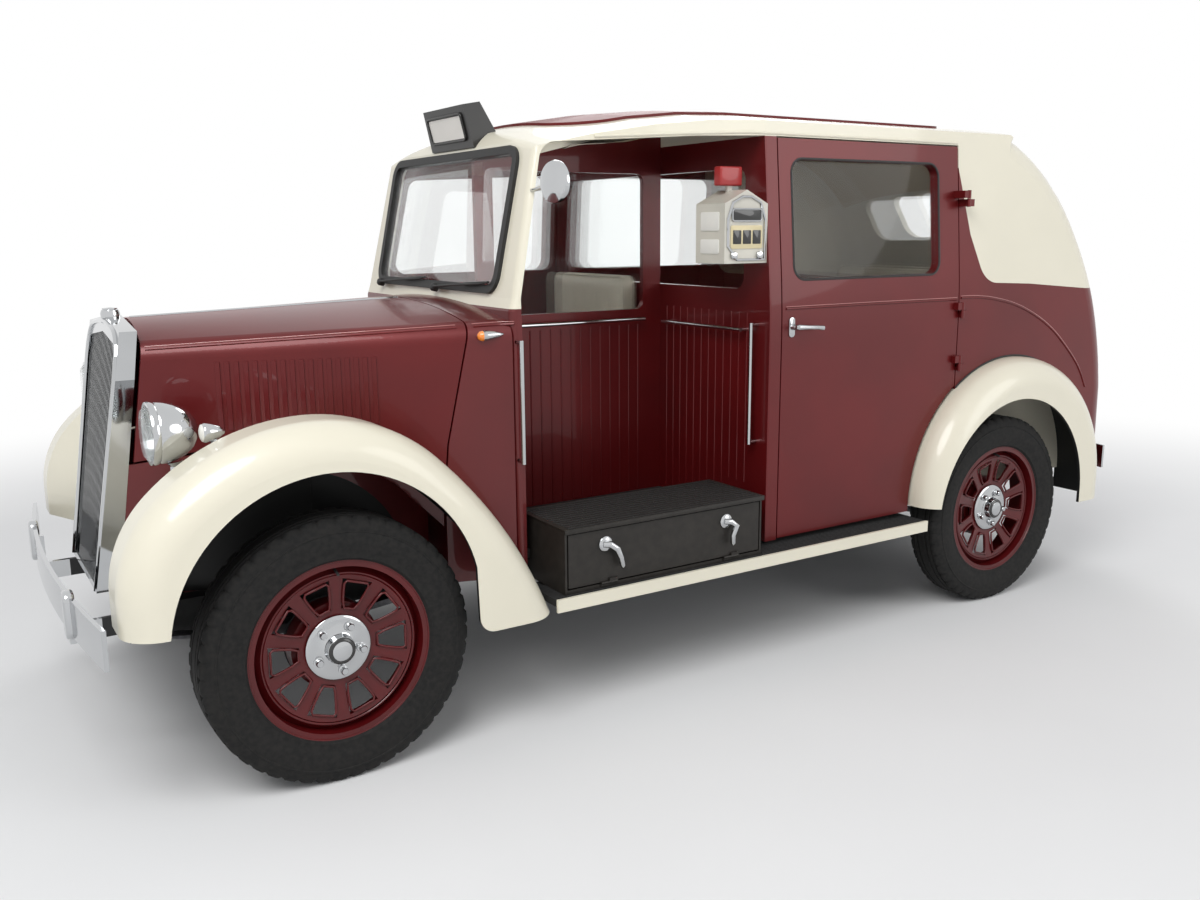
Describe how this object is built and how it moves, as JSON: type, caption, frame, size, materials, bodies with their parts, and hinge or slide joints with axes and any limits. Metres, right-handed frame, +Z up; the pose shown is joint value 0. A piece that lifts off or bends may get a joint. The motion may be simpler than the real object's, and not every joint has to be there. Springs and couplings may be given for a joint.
{
  "type": "vintage taxi cab",
  "caption": "Upright vintage taxi cab with separate wings, running boards, an open luggage platform beside the driver, hinged doors and bonnet, and steerable spoked wheels.",
  "frame": {"origin": "on the ground, at the middle of the overall length and width", "axes": "+X forward, +Y to the cab's left, +Z up"},
  "size_m": [4.23, 1.68, 1.892],
  "materials": {
    "maroon_paint": "gloss",
    "cream_paint": "gloss",
    "black_paint": "satin",
    "chrome": "polished",
    "clear_glass": "clear",
    "tyre_rubber": "matt",
    "black_rubber": "matt",
    "cream_leather": "satin",
    "cast_metal": "rough",
    "steel": "satin",
    "grey_paint": "satin",
    "pale_panel": "satin",
    "black_board": "ribbed",
    "dark_plastic": "gloss"
  },
  "bodies": {
    "cab": {"board_edgings": "cream_paint", "chassis_frame": "black_paint", "division": "maroon_paint", "driver_seat": "cream_leather", "engine_block": "cast_metal", "exhaust": "steel", "fixed_glass": "clear_glass", "floor": "black_board", "front_axle": "black_paint", "front_bumper": "chrome", "front_wings": "cream_paint", "fuel_tank": "black_paint", "grab_rails": "chrome", "headlamps": "chrome", "locker_box": "black_paint", "nose_valances": "maroon_paint", "radiator_grille": "chrome", "radiator_shell": "chrome", "rear_axle": "black_paint", "rear_body": "maroon_paint", "rear_bumper": "chrome", "rear_seat": "cream_leather", "rear_wings": "cream_paint", "road_springs": "steel", "roof_panel": "maroon_paint", "roof_shell": "cream_paint", "roof_sign": "black_paint", "running_boards": "black_board", "scuttle": "maroon_paint", "side_mirror": "chrome", "side_partition": "maroon_paint", "sign_panel": "pale_panel", "steering_column": "black_paint", "taximeter": "grey_paint", "windscreen_frame": "black_rubber"},
    "left_knuckle": {"left_knuckle": "cast_metal"},
    "right_knuckle": {"right_knuckle": "cast_metal"},
    "track_rod": {"track_rod": "steel"},
    "steering_wheel": {"steering_wheel": "dark_plastic"},
    "front_left_wheel": {"front_left_wheel": "maroon_paint", "front_left_tyre": "tyre_rubber"},
    "front_right_wheel": {"front_right_wheel": "maroon_paint", "front_right_tyre": "tyre_rubber"},
    "rear_left_wheel": {"rear_left_wheel": "maroon_paint", "rear_left_tyre": "tyre_rubber"},
    "rear_right_wheel": {"rear_right_wheel": "maroon_paint", "rear_right_tyre": "tyre_rubber"},
    "rear_left_door": {"rear_left_door": "maroon_paint", "rear_left_door_glass": "clear_glass"},
    "rear_right_door": {"rear_right_door": "maroon_paint", "rear_right_door_glass": "clear_glass"},
    "driver_door": {"driver_door": "maroon_paint", "driver_door_glass": "clear_glass"},
    "left_bonnet": {"left_bonnet": "maroon_paint"},
    "right_bonnet": {"right_bonnet": "maroon_paint"},
    "locker_flap": {"locker_flap": "black_paint"}
  },
  "joints": [
    {"name": "steer_left", "type": "hinge", "parent": "cab", "child": "left_knuckle", "pos_m": [1.485, 0.585, 0.372], "axis": [0, 0, 1], "range_deg": [-28, 28]},
    {"name": "steer_right", "type": "hinge", "parent": "cab", "child": "right_knuckle", "pos_m": [1.485, -0.585, 0.372], "axis": [0, 0, 1], "range_deg": [-28, 28]},
    {"name": "track_rod_turn", "type": "hinge", "parent": "left_knuckle", "child": "track_rod", "pos_m": [1.335, 0.585, 0.295], "axis": [0, 0, 1], "range_deg": [-28, 28]},
    {"name": "hand_wheel_turn", "type": "hinge", "parent": "cab", "child": "steering_wheel", "pos_m": [0.56, -0.33, 1.13], "axis": [-0.573, 0, 0.8195], "range_deg": [-420, 420]},
    {"name": "front_left_roll", "type": "hinge", "parent": "left_knuckle", "child": "front_left_wheel", "pos_m": [1.485, 0.71, 0.372], "axis": [0, 1, 0], "continuous": true},
    {"name": "front_right_roll", "type": "hinge", "parent": "right_knuckle", "child": "front_right_wheel", "pos_m": [1.485, -0.71, 0.372], "axis": [0, 1, 0], "continuous": true},
    {"name": "rear_left_roll", "type": "hinge", "parent": "cab", "child": "rear_left_wheel", "pos_m": [-1.215, 0.71, 0.372], "axis": [0, 1, 0], "continuous": true},
    {"name": "rear_right_roll", "type": "hinge", "parent": "cab", "child": "rear_right_wheel", "pos_m": [-1.215, -0.71, 0.372], "axis": [0, 1, 0], "continuous": true},
    {"name": "rear_left_door_hinge", "type": "hinge", "parent": "cab", "child": "rear_left_door", "pos_m": [-0.983, 0.735, 1.2], "axis": [0, 0, 1], "range_deg": [0, 75]},
    {"name": "rear_right_door_hinge", "type": "hinge", "parent": "cab", "child": "rear_right_door", "pos_m": [-0.983, -0.735, 1.2], "axis": [0, 0, -1], "range_deg": [0, 75]},
    {"name": "driver_door_hinge", "type": "hinge", "parent": "cab", "child": "driver_door", "pos_m": [0.827, -0.615, 1], "axis": [0, 0, 1], "range_deg": [0, 70]},
    {"name": "left_bonnet_hinge", "type": "hinge", "parent": "cab", "child": "left_bonnet", "pos_m": [1.838, 0.014, 1.2319], "axis": [0.9995, 0, -0.0307], "range_deg": [0, 65]},
    {"name": "right_bonnet_hinge", "type": "hinge", "parent": "cab", "child": "right_bonnet", "pos_m": [1.838, -0.014, 1.2319], "axis": [-0.9995, 0, 0.0307], "range_deg": [0, 65]},
    {"name": "locker_flap_hinge", "type": "hinge", "parent": "cab", "child": "locker_flap", "pos_m": [0.4, 0.7845, 0.4145], "axis": [-1, 0, 0], "range_deg": [0, 85]}
  ],
  "couplings": [
    {"joint": "steer_right", "follows": "steer_left", "ratio": 1},
    {"joint": "track_rod_turn", "follows": "steer_left", "ratio": -1},
    {"joint": "hand_wheel_turn", "follows": "steer_left", "ratio": 15}
  ]
}
